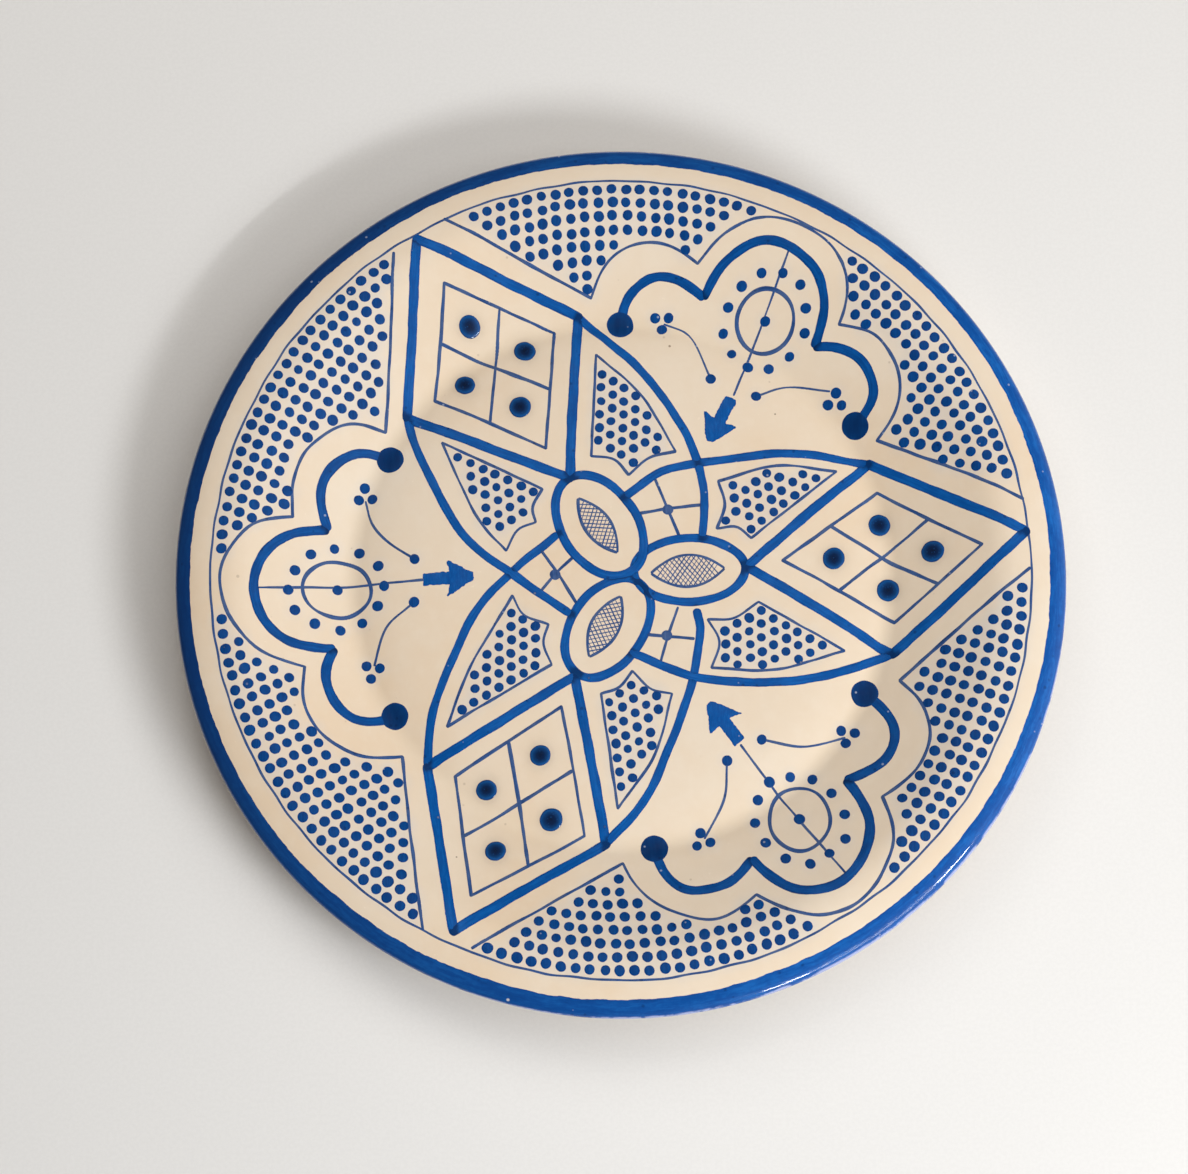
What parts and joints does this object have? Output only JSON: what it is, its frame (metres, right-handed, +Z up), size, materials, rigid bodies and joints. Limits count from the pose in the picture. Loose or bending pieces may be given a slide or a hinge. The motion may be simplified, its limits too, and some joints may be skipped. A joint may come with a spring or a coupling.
{
  "type": "decorated dinner plate",
  "caption": "Round shallow dinner plate on a turned foot ring, cream glaze with a cobalt painted geometric petal and arch motif and a blue rim band.",
  "frame": {"origin": "centre of the foot ring, on the surface that the plate stands on", "axes": "+Z up, out of the dish; the painted motif is read with +Y away from the viewer"},
  "size_m": [0.27, 0.27, 0.0236],
  "materials": {
    "bare_clay": "unglazed fired earthenware, matt, slightly sandy",
    "cream_glaze": "glossy opaque tin glaze, warm cream with a faint undulation",
    "cobalt_band": "glossy dense cobalt band under the glaze, brushed round the lip",
    "cobalt_bold": "glossy brushed cobalt, darker at the edges of each stroke",
    "cobalt_thin": "fine brushed cobalt, thinner and greyer than the bold lines",
    "cobalt_dot": "glossy cobalt dots laid on with a loaded brush",
    "cobalt_thick": "thick glossy cobalt drops, nearly black in the middle"
  },
  "bodies": {
    "root": {"clay_body": "bare_clay", "front_glaze": "cream_glaze", "back_glaze": "cream_glaze", "foot_recess_glaze": "cream_glaze", "rim_band": "cobalt_band", "border_line": "cobalt_thin", "petal_lines": "cobalt_bold", "diamond_frames": "cobalt_bold", "diamond_grids": "cobalt_thin", "diamond_dots": "cobalt_thick", "centre_ovals": "cobalt_bold", "oval_lenses": "cobalt_thin", "window_crosses": "cobalt_thin", "panel_outlines": "cobalt_thin", "panel_dots": "cobalt_dot", "arch_lines": "cobalt_bold", "arch_outlines": "cobalt_thin", "ground_edges": "cobalt_thin", "ground_dots_top": "cobalt_dot", "ground_dots_upper_right": "cobalt_dot", "ground_dots_right": "cobalt_dot", "ground_dots_bottom": "cobalt_dot", "ground_dots_lower_left": "cobalt_dot", "ground_dots_upper_left": "cobalt_dot", "arch_arrows": "cobalt_bold", "arch_circles": "cobalt_thin", "arch_circle_dots": "cobalt_dot", "sprig_stems": "cobalt_thin", "sprig_dots": "cobalt_dot"}
  },
  "joints": []
}
